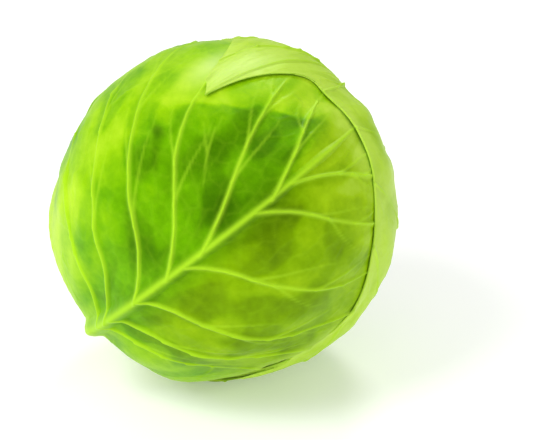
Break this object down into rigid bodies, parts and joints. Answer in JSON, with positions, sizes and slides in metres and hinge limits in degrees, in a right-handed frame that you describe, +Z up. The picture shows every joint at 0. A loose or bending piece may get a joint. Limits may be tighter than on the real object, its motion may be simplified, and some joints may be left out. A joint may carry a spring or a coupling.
{
  "type": "cabbage head",
  "caption": "Round green cabbage head with wrapper leaves, resting tilted on its side on a small flat spot.",
  "frame": {"origin": "centre of the small flat spot that the head rests on", "axes": "+Z up from the surface; the head's axis climbs from the cut stem low at -X to the crown high at +X, turned a little towards +Y; -Y faces the viewer of the front leaf"},
  "size_m": [0.1809, 0.176, 0.1765],
  "materials": {
    "stem": "pale cut stem, matte, slightly fibrous",
    "heart": "packed inner leaves, satin, faintly veined",
    "leaf_over_crown": "waxy leaf, light yellow-green, pale veins",
    "leaf_front": "waxy leaf, fresh green with darker mottling and pale veins",
    "leaf_left": "waxy leaf, yellow-green, pale veins",
    "leaf_under": "waxy leaf, yellow-green, pale veins",
    "leaf_inner_front": "waxy inner leaf, paler yellow-green",
    "leaf_inner_back": "waxy inner leaf, paler yellow-green"
  },
  "bodies": {
    "root": {"stem": "stem", "heart": "heart", "leaf_over_crown": "leaf_over_crown", "leaf_front": "leaf_front", "leaf_left": "leaf_left", "leaf_under": "leaf_under", "leaf_inner_front": "leaf_inner_front", "leaf_inner_back": "leaf_inner_back"}
  },
  "joints": []
}
